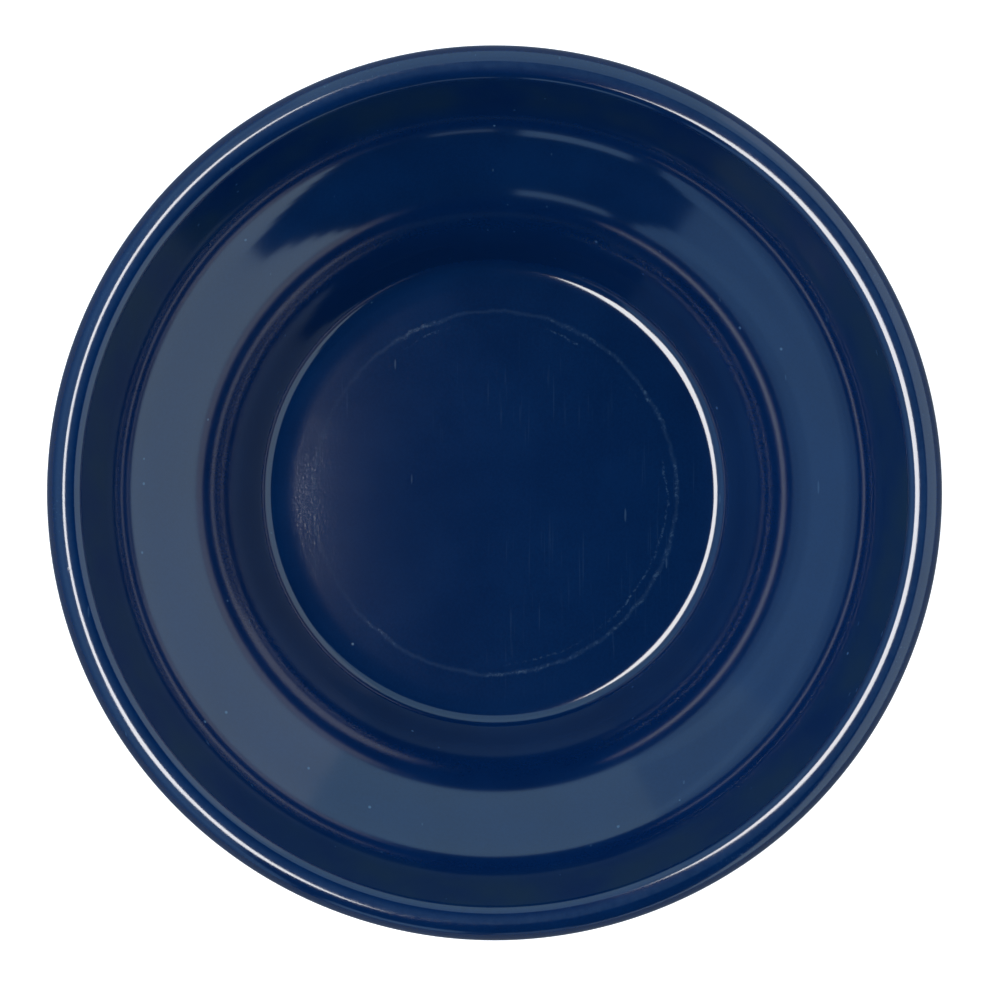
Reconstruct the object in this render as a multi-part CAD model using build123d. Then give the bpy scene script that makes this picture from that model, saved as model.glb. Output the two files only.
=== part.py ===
from build123d import *
import math
import os

# A round bowl moulded in one piece from melamine, with a well whose floor is slightly
# domed, a sloping shoulder, a steep upper wall, a rolled rim bead and a foot ring.
# Millimetres, +Z up. The origin is the centre of the circle that the foot ring
# stands on, and Z is the axis that the whole bowl is turned about.

RIM_DIAMETER = 130.0       # across the outside of the rim bead
WALL = 2.8                 # wall and floor thickness, square to the surface
FLOOR_HEIGHT = 5.0         # edge of the well's floor above the table

# The inside surface, from the well's floor out to the rim. A tilt is the slope
# of the surface going outwards, in degrees: 0 is level and 90 is upright.
FLOOR_TILT = -3.4          # the floor falls this steeply at its edge, and is level
                           # at the middle
LEAD_TILT = 1.5            # it lifts again by this little before its corner
LEAD_RADIUS = 32.0
CORNER_RADIUS = 3.2        # corner between the floor and the well's wall
WELL_TILT = 62.1
WELL_STRAIGHT = 4.6        # straight part of the well's wall
CROWN_RADIUS = 29.9        # convex roll from the well's wall on to the shoulder
SHOULDER_TILT = 31.1
SHOULDER_STRAIGHT = 2.6
HOLLOW_RADIUS = 15.6       # concave bend from the shoulder up into the wall
UPPER_TILT = 64.5
UPPER_STRAIGHT = 6.8       # straight part of the upper wall

# The rim bead hangs over the outside of the wall from its crest.
LIP_RADIUS = 2.65          # from the upper wall up to the crest
BEAD_RADIUS = 3.0          # from the crest round the outside
BEAD_ROOT_RADIUS = 1.6     # from below the bead into the outside of the wall

# The foot ring
FOOT_DIAMETER = 54.4       # middle of the ring that touches the table
FOOT_LAND = 1.4            # width of that ring
FOOT_DRAFT = 12.0          # slope of the foot's two sides, in degrees from upright
FOOT_ROOT_FILLET = 1.0
FOOT_EDGE_FILLET = 0.4


class Pen:
    """Draws a chain of tangent straights and bends, with X outwards and Y up."""

    def __init__(self, point, tilt=0.0):
        self.point, self.tilt, self.edges = Vector(*point), tilt, []

    def straight(self, length):
        self.add(PolarLine(self.point, length, self.tilt))

    def bend(self, end_tilt, radius):
        heading = Vector(1.0, 0.0).rotate(Axis.Z, self.tilt)
        self.add(JernArc(self.point, heading, radius, end_tilt - self.tilt))
        self.tilt = end_tilt

    def add(self, edge):
        self.edges.append(edge)
        self.point = edge @ 1


def floor_line(floor_radius, offset):
    """A pen that has drawn the floor's domed top from the bowl's axis to its edge, at
    (0, 0), or the line that lies offset below it."""
    fall = math.radians(-FLOOR_TILT)
    dome_radius = floor_radius / math.sin(fall)
    pen = Pen((-floor_radius, dome_radius * (1.0 - math.cos(fall)) - offset))
    pen.bend(FLOOR_TILT, dome_radius - offset)
    return pen


def wall_line(offset):
    """A pen that has drawn the inside line from the floor's edge, at (0, 0), to the
    foot of the upper wall, or the line that lies offset outside it."""
    pen = Pen(Vector(0.0, -offset).rotate(Axis.Z, FLOOR_TILT), FLOOR_TILT)
    pen.bend(LEAD_TILT, LEAD_RADIUS + offset)
    pen.bend(WELL_TILT, CORNER_RADIUS + offset)
    pen.straight(WELL_STRAIGHT)
    pen.bend(SHOULDER_TILT, CROWN_RADIUS - offset)
    pen.straight(SHOULDER_STRAIGHT)
    pen.bend(UPPER_TILT, HOLLOW_RADIUS + offset)
    return pen


def bead_root_turn():
    """How far past the slope of the wall the bead turns under before its root turns
    back, so that the root ends on the outside of the wall."""
    wall = math.radians(UPPER_TILT)
    bead_centre = LIP_RADIUS + (BEAD_RADIUS - LIP_RADIUS) * math.cos(wall)
    reach = WALL + BEAD_ROOT_RADIUS - bead_centre
    return math.degrees(math.acos(reach / (BEAD_RADIUS + BEAD_ROOT_RADIUS)))


def inside_line():
    """The inside surface and the rim, as a pen that ends where the bead's root runs
    into the outside of the wall, and the point at the bead's crest."""
    pen = wall_line(0.0)
    pen.straight(UPPER_STRAIGHT)
    pen.bend(0.0, LIP_RADIUS)
    crest = pen.point
    down_the_wall = UPPER_TILT - 180.0
    pen.bend(down_the_wall - bead_root_turn(), BEAD_RADIUS)
    pen.bend(down_the_wall, BEAD_ROOT_RADIUS)
    return pen, crest


def wall_section():
    """The wall, floor and rim bead in section, with the axis of the bowl at X = 0."""
    inside, crest = inside_line()
    outside = wall_line(WALL)
    floor_radius = RIM_DIAMETER / 2 - BEAD_RADIUS - crest.X
    floor = floor_line(floor_radius, 0.0).edges[0]
    underside = floor_line(floor_radius, WALL).edges[0]
    outline = [
        floor,
        *inside.edges,
        Line(inside.point, outside.point),
        *outside.edges,
        underside,
        Line(underside @ 0, floor @ 0),
    ]
    return Pos(floor_radius, FLOOR_HEIGHT) * make_face(outline)


def foot_section():
    """The foot ring in section, reaching half way into the floor above it."""
    height = FLOOR_HEIGHT - WALL / 2
    spread = height * math.tan(math.radians(FOOT_DRAFT))
    inner = (FOOT_DIAMETER - FOOT_LAND) / 2
    outer = (FOOT_DIAMETER + FOOT_LAND) / 2
    return make_face(Polyline(
        (inner, 0.0), (outer, 0.0), (outer + spread, height), (inner - spread, height), close=True,
    ))


def section():
    """The whole section, with the foot's edges and roots rounded."""
    outline = wall_section() + foot_section()
    edges = outline.vertices().filter_by_position(Axis.Y, 0.0, 0.01)
    outline = fillet(edges, FOOT_EDGE_FILLET)
    beside_foot = outline.vertices().filter_by_position(
        Axis.X, FOOT_DIAMETER / 2 - 2.0, FOOT_DIAMETER / 2 + 2.0,
    )
    roots = beside_foot.filter_by_position(Axis.Y, FLOOR_HEIGHT - WALL, FLOOR_HEIGHT)
    return fillet(roots, FOOT_ROOT_FILLET)


def bowl():
    solid = revolve(Plane.XZ * section(), Axis.Z)
    solid.label = "bowl"
    solid.color = Color(0.01, 0.11, 0.29)
    return solid


os.makedirs("parts", exist_ok=True)
export_step(bowl(), "parts/bowl.step")
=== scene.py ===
import math
from functools import reduce

import bpy
import numpy as np
from mathutils import Matrix, Vector

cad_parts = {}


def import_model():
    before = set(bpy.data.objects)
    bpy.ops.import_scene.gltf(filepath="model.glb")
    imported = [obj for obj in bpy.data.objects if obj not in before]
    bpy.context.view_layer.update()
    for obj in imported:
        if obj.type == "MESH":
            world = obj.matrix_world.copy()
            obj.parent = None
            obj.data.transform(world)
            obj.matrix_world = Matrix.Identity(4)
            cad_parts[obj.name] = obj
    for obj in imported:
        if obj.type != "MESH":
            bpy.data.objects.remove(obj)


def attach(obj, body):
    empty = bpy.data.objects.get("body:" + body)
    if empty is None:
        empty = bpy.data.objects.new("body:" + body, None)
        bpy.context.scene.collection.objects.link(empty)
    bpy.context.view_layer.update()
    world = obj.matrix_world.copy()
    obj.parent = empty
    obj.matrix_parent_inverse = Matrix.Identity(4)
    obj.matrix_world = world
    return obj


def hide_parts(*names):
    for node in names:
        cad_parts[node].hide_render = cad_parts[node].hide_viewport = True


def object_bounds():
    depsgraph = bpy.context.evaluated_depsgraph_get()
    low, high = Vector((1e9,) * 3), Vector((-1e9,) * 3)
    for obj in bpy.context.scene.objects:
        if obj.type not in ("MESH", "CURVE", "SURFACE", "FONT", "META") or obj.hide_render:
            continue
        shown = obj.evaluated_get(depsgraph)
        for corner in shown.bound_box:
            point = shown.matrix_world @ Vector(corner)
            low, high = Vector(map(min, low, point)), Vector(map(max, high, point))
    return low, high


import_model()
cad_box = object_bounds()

MM = 0.001

# ---------------------------------------------------------------- sizes
# The rim's radius comes from the CAD box. The rest repeats the section of the CAD
# part, in millimetres. A tilt is a surface's slope going outwards, in degrees.
RIM_RADIUS = cad_box[1].x / MM
WALL = 2.8
FLOOR_HEIGHT = 5.0
FLOOR_TILT = -3.4
LEAD_TILT, LEAD_RADIUS = 1.5, 32.0
CORNER_RADIUS = 3.2
WELL_TILT, WELL_STRAIGHT = 62.1, 4.6
CROWN_RADIUS = 29.9
SHOULDER_TILT, SHOULDER_STRAIGHT = 31.1, 2.6
HOLLOW_RADIUS = 15.6
UPPER_TILT, UPPER_STRAIGHT = 64.5, 6.8
LIP_RADIUS, BEAD_RADIUS, BEAD_ROOT_RADIUS = 2.65, 3.0, 1.6
FOOT_RADIUS, FOOT_LAND, FOOT_DRAFT = 27.2, 1.4, 12.0
FOOT_ROOT_FILLET, FOOT_EDGE_FILLET = 1.0, 0.4

# The lip and the bead's outer side are plain arcs in the CAD part. Here they are
# flatter on the inside of the crest and tighter on the outside, and keep to within a
# tenth of a millimetre of it: each tilt that they turn to, with the turn's radius.
LIP_START = 0.262          # the upper wall runs on by this much first
LIP_TURNS = ((21.6, 2.169), (17.6, 0.6), (8.15, 3.9), (0.0, 3.2))
BEAD_TURNS = ((-4.35, 3.2), (-17.8, 1.83), (-55.0, 3.602), (-90.0, 2.693))

SEGMENTS = 288             # round the axis
TURN_PER_ROW = 2.4         # degrees of bend between two rows of the mesh
ROOM_HEIGHT = 3.0          # metres from the table to the strip light

# Relief of the surface, in millimetres
GRAIN_HEIGHT = 0.0100      # of the moulded grain on the floor of the well
TURNING_HEIGHT = 0.0008    # of the turning rings on the walls
PIT_DEPTH = 0.012

# Zones with a finish of their own, and the zones of the painted reflection on the upper
# wall and the painted sheen on the crest, in millimetres. Each pair is the radius where the
# zone starts to fade in and the radius where it is full, which is the smaller one if the
# zone lies inwards. The top side is told from the underside by its height.
TOP_SIDE = (4.2, 4.6)
GRAINED_FLOOR = (31.6, 30.4)
WALLS = (33.0, 36.0)
UPPER_WALL = ((54.5, 57.5), (60.6, 59.6))
CREST = ((60.9, 61.9), (62.7, 62.3))
BEAD = (61.9, 62.5)

# The ring worn into the floor by the foot of the bowl above, in millimetres. It is
# fainter towards -X, before the second of the two places along X.
LESS_WORN = (-26.0, -14.0)
WORN_WIDTH = 0.50
INNER_STRAND_RADIUS, INNER_STRAND_WIDTH = 25.7, 0.24
WORN_WANDER = 1.9

# Colours, linear
BODY_DARK = (0.0002, 0.0117, 0.0565, 1.0)
BODY_LIGHT = (0.0005, 0.0167, 0.0735, 1.0)
# painted reflection: a greyer, lighter blue blended in cloudy patches on the upper wall, standing in
# for the light bands reflected there
PAINTED_REFLECTION_COLOUR = (0.0062, 0.0215, 0.050, 1.0)
# the lighter blue of worn marks, also used for the painted sheen along the crest
WORN_AND_SHEEN_COLOUR = (0.11, 0.22, 0.36, 1.0)
PAPER = (0.36, 0.37, 0.38, 1.0)
WHITE = (1.0, 1.0, 1.0, 1.0)
DARK_ROOM = (0.012, 0.030, 0.040, 1.0)

# Radiance of the panels
STRIP_GLOSS = 13.5         # of the overhead strip as the gloss shows it
STRIP_FILL = 6.3           # and as it lights the body colour
BLUE_PANEL = (0.33, 0.64, 1.06)
MIXED_PANEL = (0.44, 0.77, 1.09)
PALE_PANEL = (0.88, 1.17, 1.38)
DIM_PANEL = (0.56, 0.90, 1.12)
LOW_PANEL = (0.30, 0.45, 0.60)
WINDOW_PANEL = (0.42, 0.72, 1.05)


# ---------------------------------------------------------------- the section
def away(point, length, tilt):
    slope = math.radians(tilt)
    return point[0] + length * math.cos(slope), point[1] + length * math.sin(slope)


class Pen:
    """Lays points along a chain of tangent straights and bends, with r outwards."""

    def __init__(self, r, z, tilt=0.0):
        self.tilt, self.points = tilt, [(r, z)]

    def straight(self, length, rows):
        for _ in range(rows):
            self.points.append(away(self.points[-1], length / rows, self.tilt))

    def bend(self, end_tilt, radius, rows=None):
        turn = end_tilt - self.tilt
        rows = rows or max(3, math.ceil(abs(turn) / TURN_PER_ROW))
        chord = 2 * radius * math.sin(math.radians(abs(turn) / rows / 2))
        for row in range(rows):
            tilt = self.tilt + turn * (row + 0.5) / rows
            self.points.append(away(self.points[-1], chord, tilt))
        self.tilt = end_tilt


def draw_floor(floor_radius, offset):
    """The domed floor from the axis to its edge, or the line that lies offset below it."""
    fall = math.radians(-FLOOR_TILT)
    dome_radius = floor_radius / math.sin(fall)
    pen = Pen(-floor_radius, dome_radius * (1 - math.cos(fall)) - offset)
    pen.bend(FLOOR_TILT, dome_radius - offset, rows=20)
    return pen.points


def draw_wall(offset):
    """The inside line from the floor's edge, at (0, 0), to the foot of the upper wall,
    or the line that lies offset outside it."""
    pen = Pen(*away((0.0, 0.0), offset, FLOOR_TILT - 90), FLOOR_TILT)
    pen.bend(LEAD_TILT, LEAD_RADIUS + offset, rows=6)
    pen.bend(WELL_TILT, CORNER_RADIUS + offset)
    pen.straight(WELL_STRAIGHT, 4)
    pen.bend(SHOULDER_TILT, CROWN_RADIUS - offset)
    pen.straight(SHOULDER_STRAIGHT, 3)
    pen.bend(UPPER_TILT, HOLLOW_RADIUS + offset)
    return pen


def bead_root_turn():
    """How far past the slope of the wall the bead turns under before its root turns
    back, in degrees. It is the same as in the CAD part."""
    wall = math.radians(UPPER_TILT)
    bead_centre = LIP_RADIUS + (BEAD_RADIUS - LIP_RADIUS) * math.cos(wall)
    reach = WALL + BEAD_ROOT_RADIUS - bead_centre
    return math.degrees(math.acos(reach / (BEAD_RADIUS + BEAD_ROOT_RADIUS)))


def draw_inside():
    """The inside surface and the rim, down to where the bead's root meets the wall's
    outside, and the radius of the bead's crest."""
    pen = draw_wall(0.0)
    pen.straight(UPPER_STRAIGHT + LIP_START, 5)
    for tilt, radius in LIP_TURNS:
        pen.bend(tilt, radius)
    crest_radius = pen.points[-1][0]
    for tilt, radius in BEAD_TURNS:
        pen.bend(tilt, radius)
    down_the_wall = UPPER_TILT - 180.0
    pen.bend(down_the_wall - bead_root_turn(), BEAD_RADIUS)
    pen.bend(down_the_wall, BEAD_ROOT_RADIUS)
    return pen.points, crest_radius


def rounded(before, corner, after, radius, rows=6):
    """The points of the arc that rounds a corner between two straight sides."""
    before, corner, after = (np.array(p) for p in (before, corner, after))
    back = (before - corner) / np.linalg.norm(before - corner)
    ahead = (after - corner) / np.linalg.norm(after - corner)
    half = math.acos(back @ ahead) / 2
    bisector = (back + ahead) / np.linalg.norm(back + ahead)
    centre = corner + bisector * radius / math.sin(half)
    start, end = (corner + side * radius / math.tan(half) - centre for side in (back, ahead))
    sweep = math.pi - 2 * half
    points = []
    for row in range(rows + 1):
        share = row / rows
        spoke = math.sin((1 - share) * sweep) * start + math.sin(share * sweep) * end
        points.append(tuple(centre + spoke / math.sin(sweep)))
    return points


def draw_underside(floor_radius):
    """The underside from the floor's edge inwards over the foot ring to the axis."""
    dome = [(r + floor_radius, z + FLOOR_HEIGHT) for r, z in draw_floor(floor_radius, WALL)]
    radii, heights = zip(*dome)

    def on_dome(r):
        return r, float(np.interp(r, radii, heights))

    clear = 2.0                # from the foot's root to where the dome's rows go on
    sides = []
    for outwards in (1, -1):
        edge = FOOT_RADIUS + outwards * FOOT_LAND / 2
        spread = math.tan(math.radians(FOOT_DRAFT)) * on_dome(edge)[1]
        root = edge + outwards * spread
        sides.append((on_dome(root + outwards * clear), on_dome(root), (edge, 0.0)))
    (out_far, out_root, out_edge), (in_far, in_root, in_edge) = sides
    return [
        *(p for p in dome[::-1] if p[0] > out_far[0]),
        *rounded(out_far, out_root, out_edge, FOOT_ROOT_FILLET),
        *rounded(out_root, out_edge, in_edge, FOOT_EDGE_FILLET),
        *rounded(out_edge, in_edge, in_root, FOOT_EDGE_FILLET),
        *rounded(in_edge, in_root, in_far, FOOT_ROOT_FILLET),
        *(p for p in dome[::-1] if p[0] < in_far[0]),
    ]


def section():
    """The closed section from the middle of the floor round to the middle of the
    underside, as an array of (r, z) in metres."""
    inside, crest_radius = draw_inside()
    floor_radius = RIM_RADIUS - BEAD_RADIUS - crest_radius
    line = draw_floor(floor_radius, 0.0) + inside[1:] + draw_wall(WALL).points[::-1]
    line = [(r + floor_radius, z + FLOOR_HEIGHT) for r, z in line]
    return MM * np.array(line + draw_underside(floor_radius))


# ---------------------------------------------------------------- the mesh
def lathe(name, profile):
    """A closed mesh turned from a section that starts and ends on the axis."""
    angles = np.linspace(0.0, 2 * math.pi, SEGMENTS, endpoint=False)
    rows = profile[1:-1]
    points = np.empty((len(rows), SEGMENTS, 3))
    points[..., 0] = rows[:, :1] * np.cos(angles)
    points[..., 1] = rows[:, :1] * np.sin(angles)
    points[..., 2] = rows[:, 1:]
    vertices = points.reshape(-1, 3).tolist()
    vertices += [(0.0, 0.0, profile[0][1]), (0.0, 0.0, profile[-1][1])]
    top, bottom = len(vertices) - 2, len(vertices) - 1
    faces = []
    for i in range(SEGMENTS):
        j = (i + 1) % SEGMENTS
        faces.append((top, i, j))
        for row in range(len(rows) - 1):
            a, b = row * SEGMENTS, (row + 1) * SEGMENTS
            faces.append((a + i, b + i, b + j, a + j))
        last = (len(rows) - 1) * SEGMENTS
        faces.append((last + i, bottom, last + j))
    mesh = bpy.data.meshes.new(name)
    mesh.from_pydata(vertices, [], faces)
    mesh.shade_smooth()
    piece = bpy.data.objects.new(name, mesh)
    bpy.context.scene.collection.objects.link(piece)
    return piece


# ---------------------------------------------------------------- materials
class Graph:
    """Adds nodes to a material. Where an input takes a number it also takes a socket, and
    every method but node and feed returns a socket."""

    def __init__(self, name):
        self.material = bpy.data.materials.new(name)
        self.material.use_nodes = True
        self.tree = self.material.node_tree
        self.shader = self.tree.nodes["Principled BSDF"]

    def node(self, kind, inputs, **settings):
        node = self.tree.nodes.new(kind)
        for key, value in settings.items():
            setattr(node, key, value)
        for key, value in inputs.items():
            self.feed(node.inputs[key], value)
        return node

    def feed(self, socket, value):
        if isinstance(value, bpy.types.NodeSocket):
            self.tree.links.new(value, socket)
        else:
            socket.default_value = value

    def math(self, operation, a, b=0.0):
        return self.node("ShaderNodeMath", {0: a, 1: b}, operation=operation).outputs[0]

    def times(self, *values):
        return reduce(lambda a, b: self.math("MULTIPLY", a, b), values)

    def plus(self, *values):
        return reduce(lambda a, b: self.math("ADD", a, b), values)

    def most(self, *values):
        return reduce(lambda a, b: self.math("MAXIMUM", a, b), values)

    def fade(self, value, start, end):
        """0 at start and 1 at end, with a smooth step between them."""
        inputs = {"Value": value, "From Min": start, "From Max": end}
        return self.node("ShaderNodeMapRange", inputs, interpolation_type="SMOOTHSTEP").outputs[0]

    def zone(self, distance, *fades):
        """The product of fades along a distance, each from a start to an end in mm."""
        return self.times(*(self.fade(distance, start * MM, end * MM) for start, end in fades))

    def strand(self, distance, middle, width):
        """1 where the distance is middle, fading to 0 at width to either side, in mm."""
        away_from = self.math("ABSOLUTE", self.math("SUBTRACT", distance, middle * MM))
        return self.zone(away_from, (width, 0.0))

    def blend(self, share, a, b):
        inputs = {"Factor": share, "A": a, "B": b}
        node = self.node("ShaderNodeMix", {}, data_type="RGBA")
        for socket in node.inputs:
            if socket.name in inputs and socket.enabled:
                self.feed(socket, inputs[socket.name])
        return next(s for s in node.outputs if s.enabled)

    def stretch(self, place, turn, scale):
        """The place turned about Z by some degrees and then scaled along each axis."""
        inputs = {"Vector": place, "Rotation": (0.0, 0.0, math.radians(turn)), "Scale": scale}
        return self.node("ShaderNodeMapping", inputs).outputs[0]

    def noise(self, place, scale, detail=2.0, roughness=0.5):
        inputs = {"Vector": place, "Scale": scale, "Detail": detail, "Roughness": roughness}
        return self.node("ShaderNodeTexNoise", inputs).outputs[0]

    def spots(self, place, scale, size, rarity):
        """1 in spots at the middle of some cells of a Voronoi pattern, and 0 elsewhere.
        Size is a share of a cell, and rarity is the share of cells that stay empty."""
        cells = self.node("ShaderNodeTexVoronoi", {"Vector": place, "Scale": scale})
        pick = self.node("ShaderNodeSeparateColor", {"Color": cells.outputs["Color"]}).outputs[0]
        spot = self.fade(cells.outputs["Distance"], size * 1.6, size)
        return self.math("MULTIPLY", spot, self.math("GREATER_THAN", pick, rarity))

    def strokes(self, place, turn, rarity):
        """1 along thin strokes about 1.5 mm long, and 0 elsewhere."""
        return self.spots(self.stretch(place, turn, (1.0, 0.15, 1.0)), 900.0, 0.10, rarity)


def relief(g, place, radius, height, on_floor, on_wall):
    """The grain of the floor, the turning rings of the walls and a few pits."""
    grain = g.noise(g.stretch(place, 28.0, (1.0, 0.5, 1.0)), 3600.0, 2.0, 0.6)
    across = g.node("ShaderNodeCombineXYZ", {0: radius, 2: height}).outputs[0]
    turning = g.noise(across, 1500.0, 2.0, 0.5)
    pits = g.spots(place, 260.0, 0.05, 0.96)
    surface = g.plus(
        g.times(grain, on_floor, GRAIN_HEIGHT),
        g.times(turning, on_wall, TURNING_HEIGHT),
        g.times(pits, on_wall, -PIT_DEPTH),
    )
    return g.node("ShaderNodeBump", {"Height": surface, "Strength": 1.0, "Distance": MM}).outputs[0]


def wear_and_sheen(g, place, x, radius, above, on_floor):
    """How marked the surface is: the worn ring, scratches, dust, the wear of the rim and a painted
    sheen along the crest.
    """
    # the worn ring: two broken strands that wander, the inner one mostly missing
    patchy = g.fade(g.noise(place, 85.0, 3.0), 0.40, 0.66)
    streaks = g.fade(g.noise(place, 1500.0, 4.0, 0.75), 0.46, 0.66)
    wander = g.math("SUBTRACT", g.noise(place, 210.0, 5.0, 0.7), 0.5)
    worn_radius = g.plus(radius, g.times(wander, WORN_WANDER * MM))
    outer = g.strand(worn_radius, FOOT_RADIUS, WORN_WIDTH)
    inner = g.strand(worn_radius, INNER_STRAND_RADIUS, INNER_STRAND_WIDTH)
    inner = g.times(inner, g.fade(g.noise(place, 55.0), 0.52, 0.66))
    uneven = g.plus(g.times(g.zone(x, LESS_WORN), 0.75), 0.25)
    worn = g.times(g.most(outer, inner), above, streaks, patchy, uneven)

    # short scratches three ways, dust, and faint brushing on the floor
    scratches = g.most(*(g.strokes(place, turn, 0.985) for turn in (12.0, 75.0, 140.0)))
    dust = g.spots(place, 330.0, 0.055, 0.92)
    bristles = g.noise(g.stretch(place, 3.0, (1.0, 0.035, 1.0)), 2600.0, 1.0)
    brushed = g.times(g.fade(bristles, 0.62, 0.80), on_floor, g.fade(g.noise(place, 70.0), 0.45, 0.65))

    # the rim: scuffs on the bead, and a painted sheen along the crest that stands in for hazy reflected
    # light
    scuffs = g.fade(g.noise(place, 2300.0, 3.0, 0.7), 0.58, 0.78)
    scuffs = g.times(scuffs, g.zone(radius, BEAD), above, g.fade(g.noise(place, 60.0, 2.0), 0.45, 0.65))
    # painted sheen: a hazy lightening along the crest that stands in for reflected light
    painted_crest_sheen = g.plus(g.times(g.noise(place, 900.0, 3.0), 0.10), 0.02)

    return g.most(
        g.times(worn, 0.42),
        g.times(outer, above, uneven, 0.05),
        g.times(dust, 0.45),
        g.times(scratches, 0.16),
        g.times(scuffs, 0.26),
        # the painted sheen along the crest, mixed in with the real marks
        g.times(painted_crest_sheen, g.zone(radius, *CREST)),
        g.times(brushed, 0.05),
    )


def melamine():
    """Glossy navy melamine. The floor of the well has a fine grain, and a worn ring where
    bowls have stood in the stack. The walls show faint turning rings, a painted reflection
    on the upper wall and a painted sheen on the crest; the rim is scuffed, and there are
    specks, pits and scratches. The scale of a noise or of spots is their number in a metre."""
    g = Graph("navy_melamine")
    place = g.node("ShaderNodeTexCoord", {}).outputs["Object"]
    x, y, height = g.node("ShaderNodeSeparateXYZ", {"Vector": place}).outputs
    radius = g.math("SQRT", g.plus(g.times(x, x), g.times(y, y)))
    above = g.zone(height, TOP_SIDE)
    on_floor = g.times(g.zone(radius, GRAINED_FLOOR), above)
    on_wall = g.times(g.zone(radius, WALLS), above)
    on_bead = g.times(g.zone(radius, BEAD), above)
    # real marks and the painted crest sheen, as one mask
    marks_and_sheen = wear_and_sheen(g, place, x, radius, above, on_floor)

    cloud = g.noise(place, 95.0, 3.0, 0.55)
    mottle = g.plus(g.times(cloud, 0.5), g.times(g.noise(place, 2400.0, 2.0, 0.7), 0.5))
    body = g.blend(g.fade(mottle, 0.3, 0.7), BODY_DARK, BODY_LIGHT)
    # painted reflection: cloudy patches of a greyer blue on the upper wall
    body = g.blend(g.times(g.zone(radius, *UPPER_WALL), g.fade(cloud, 0.25, 0.75)), body, PAINTED_REFLECTION_COLOUR)

    fine = g.fade(g.noise(place, 1700.0, 3.0, 0.65), 0.40, 0.65)
    rough = g.plus(
        g.times(g.fade(cloud, 0.3, 0.7), 0.010),
        0.088,
        g.times(on_wall, 0.015),
        g.times(on_floor, 0.010),
        g.times(on_bead, fine, 0.05),
        g.times(marks_and_sheen, 0.30),
    )

    # real marks and the painted crest sheen lighten the body colour
    g.feed(g.shader.inputs["Base Color"], g.blend(marks_and_sheen, body, WORN_AND_SHEEN_COLOUR))
    g.feed(g.shader.inputs["Roughness"], rough)
    g.feed(g.shader.inputs["Normal"], relief(g, place, radius, height, on_floor, on_wall))
    g.shader.inputs["IOR"].default_value = 1.62
    return g.material


def white_floor():
    """Pale paper, lifted to white where the camera sees it."""
    g = Graph("white_paper")
    g.shader.inputs["Base Color"].default_value = PAPER
    g.shader.inputs["Roughness"].default_value = 0.9
    g.shader.inputs["Specular IOR Level"].default_value = 0.0
    g.shader.inputs["Emission Color"].default_value = WHITE
    seen = g.node("ShaderNodeLightPath", {}).outputs["Is Camera Ray"]
    g.feed(g.shader.inputs["Emission Strength"], g.math("MULTIPLY", seen, 1.1))
    return g.material


# ---------------------------------------------------------------- studio
def panel(name, glow, corner, along, across, seen_as="both"):
    """A rectangular light from one corner and its two sides. It faces the bowl. Glow is
    its radiance, and seen_as limits it to gloss reflections or to filling in colour."""
    centre = corner + (along + across) / 2
    back = along.cross(across).normalized()
    if back.dot(centre) < 0:
        back.negate()
    right = along.normalized()
    light = bpy.data.lights.new(name, "AREA")
    light.shape = "RECTANGLE"
    light.size, light.size_y = along.length, across.length
    light.energy = math.pi * along.length * across.length
    light.color = glow
    lamp = bpy.data.objects.new(name, light)
    turn = Matrix((right, back.cross(right), back)).transposed()
    lamp.matrix_world = Matrix.Translation(centre) @ turn.to_4x4()
    lamp.visible_diffuse = seen_as != "gloss"
    lamp.visible_glossy = seen_as != "fill"
    bpy.context.scene.collection.objects.link(lamp)


def place(*point):
    """A place in the room from its coordinates in room heights."""
    return ROOM_HEIGHT * Vector(point)


def wall(name, glow, start, end, low, high):
    """An upright panel between two places on the plan and two heights, in room heights."""
    corner = place(*start, low)
    panel(name, glow, corner, place(*end, low) - corner, place(0, 0, high - low))


def strip():
    """The bright strip overhead, and a slanting flap beyond the front of its left edge."""
    corner, along, across = place(-0.61, -0.80, 1), place(0.388, 0, 0), place(0, 1.37, 0)
    panel("strip_gloss", 3 * [STRIP_GLOSS], corner, along, across, "gloss")
    panel("strip_fill", 3 * [STRIP_FILL], corner, along, across, "fill")
    corner, along, across = place(-0.61, -0.10, 1), place(-0.24, -0.50, 0), place(0.18, -0.087, 0)
    panel("strip_flap", 3 * [STRIP_GLOSS], corner, along, across, "gloss")


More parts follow.
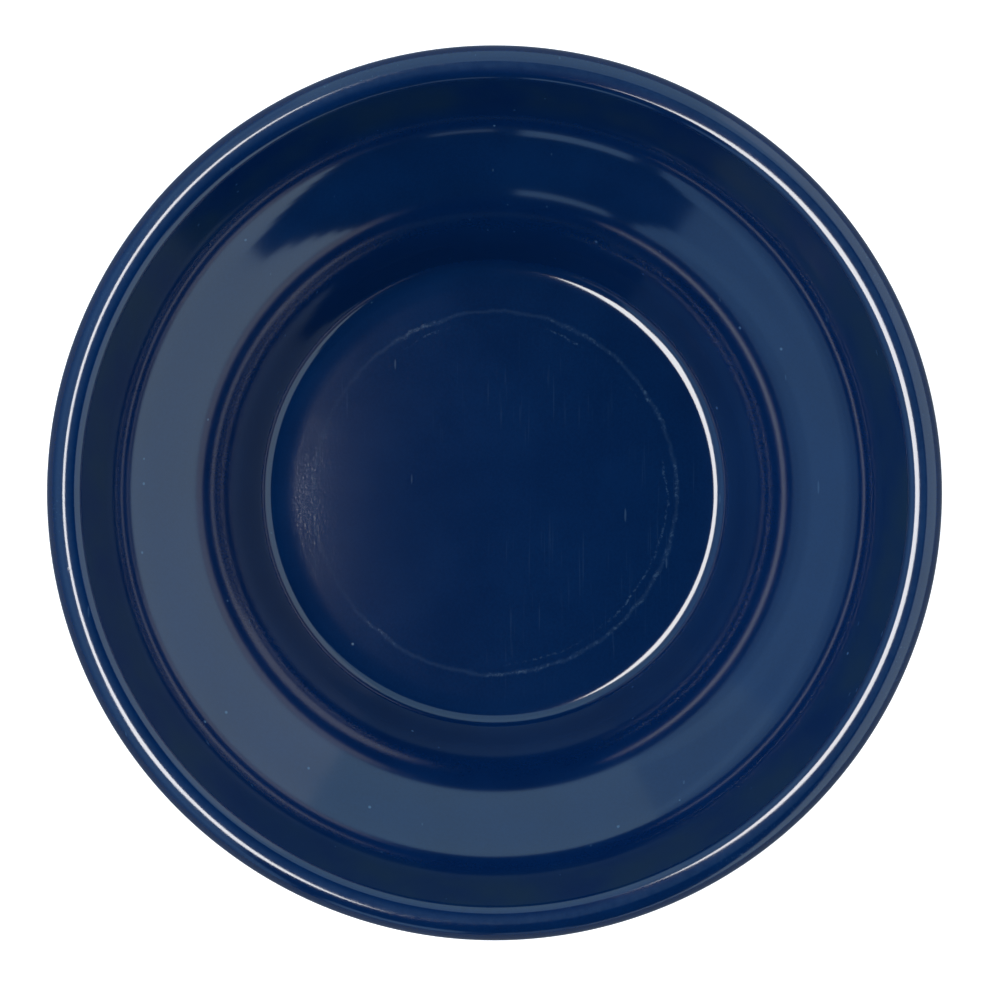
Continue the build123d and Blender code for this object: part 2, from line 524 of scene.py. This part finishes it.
def studio():
    """A tent of plain panels: the strip overhead on the left, a bluish wall on the left
    that dims towards the table, and pale walls on the right and at the back. Towards
    the front the top edges of both side walls step down. Sizes are in room heights."""
    left, right, back, front = -0.70, 0.82, 1.38, -4.6
    corner_left, corner_right = -1.0, -0.66          # where the tall walls end at the front
    paler = 0.55                                     # where the left wall turns paler
    blue_end = [0.85 * c for c in BLUE_PANEL]
    dim_ceiling = [0.9 * c for c in DIM_PANEL]
    strip()

    levels = ((0, 0.1, 0.40), (0.1, 0.2, 0.58), (0.2, 0.3, 0.78), (0.3, 0.5, 1.0), (0.5, 1.0, 0.86))
    for low, high, share in levels:
        blue = [share * c for c in BLUE_PANEL]
        mixed = [share * c for c in MIXED_PANEL]
        wall(f"left_{low}", blue, (left, corner_left), (left, paler), low, high)
        wall(f"left_back_{low}", mixed, (left, paler), (left, back), low, high)
    wall("right_wall", PALE_PANEL, (right, corner_right), (right, back), 0, 1.0)
    wall("back_wall", DIM_PANEL, (left, back), (right, back), 0, 1.0)
    corner, along, across = place(left, 0.60, 1), place(right - left, 0, 0), place(0, back - 0.60, 0)
    panel("back_ceiling", dim_ceiling, corner, along, across)

    right_steps, right_step, left_steps, left_step = 6, 0.17, 3, 0.11
    for i in range(right_steps):
        y = corner_right - right_step * i
        wall(f"right_{i}", PALE_PANEL, (right, y - right_step), (right, y), 0, 0.76 - 0.095 * i)
    for i in range(left_steps):
        y = corner_left - left_step * i
        wall(f"left_end_{i}", blue_end, (left, y - left_step), (left, y), 0, 0.53 - 0.07 * i)
    right_far = corner_right - right_steps * right_step
    wall("right_far", PALE_PANEL, (right, front), (right, right_far), 0, 0.20)
    wall("front_low", LOW_PANEL, (0, front), (right, front), 0, 0.80)
    wall("front_window", WINDOW_PANEL, (-0.66, -1.60), (-0.12, -1.60), 0.06, 0.41)


def floor():
    """The pale table that the bowl stands on, a hair below the foot's own flat face."""
    reach, below = 6 * ROOM_HEIGHT, -0.02 * MM
    corners = [(x * reach, y * reach, below) for x, y in ((-1, -1), (1, -1), (1, 1), (-1, 1))]
    mesh = bpy.data.meshes.new("floor")
    mesh.from_pydata(corners, [], [(0, 1, 2, 3)])
    mesh.materials.append(white_floor())
    ground = bpy.data.objects.new("floor", mesh)
    bpy.context.scene.collection.objects.link(ground)


def world():
    """White to the camera, and nearly black to the bowl: the dark room round the panels."""
    room = bpy.data.worlds.new("room")
    bpy.context.scene.world = room
    room.use_nodes = True
    nodes, links = room.node_tree.nodes, room.node_tree.links
    dark = nodes["Background"]
    dark.inputs["Color"].default_value = DARK_ROOM
    white = nodes.new("ShaderNodeBackground")
    white.inputs["Color"].default_value = WHITE
    white.inputs["Strength"].default_value = 1.05
    path = nodes.new("ShaderNodeLightPath")
    mix = nodes.new("ShaderNodeMixShader")
    links.new(path.outputs["Is Camera Ray"], mix.inputs["Fac"])
    links.new(dark.outputs["Background"], mix.inputs[1])
    links.new(white.outputs["Background"], mix.inputs[2])
    links.new(mix.outputs["Shader"], nodes["World Output"].inputs["Surface"])


def camera():
    """Straight above the bowl, with the bowl a little off the middle of the frame."""
    distance = 0.9                   # from the widest part of the rim
    rim_share = 0.8952               # of the frame's width
    off_centre = (0.80 * MM, -1.04 * MM)
    data = bpy.data.cameras.new("camera")
    data.sensor_width = 36.0
    data.lens = data.sensor_width * distance / (2 * RIM_RADIUS * MM / rim_share)
    data.clip_start, data.clip_end = 0.01, 60.0
    eye = bpy.data.objects.new("camera", data)
    eye.location = (*off_centre, cad_box[1].z - BEAD_RADIUS * MM + distance)
    bpy.context.scene.collection.objects.link(eye)
    bpy.context.scene.camera = eye


bowl = lathe("bowl_shell", section())
bowl.data.materials.append(melamine())
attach(bowl, "root")
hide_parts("bowl")
floor()
studio()
world()
camera()
bpy.context.scene.view_settings.view_transform = "Standard"
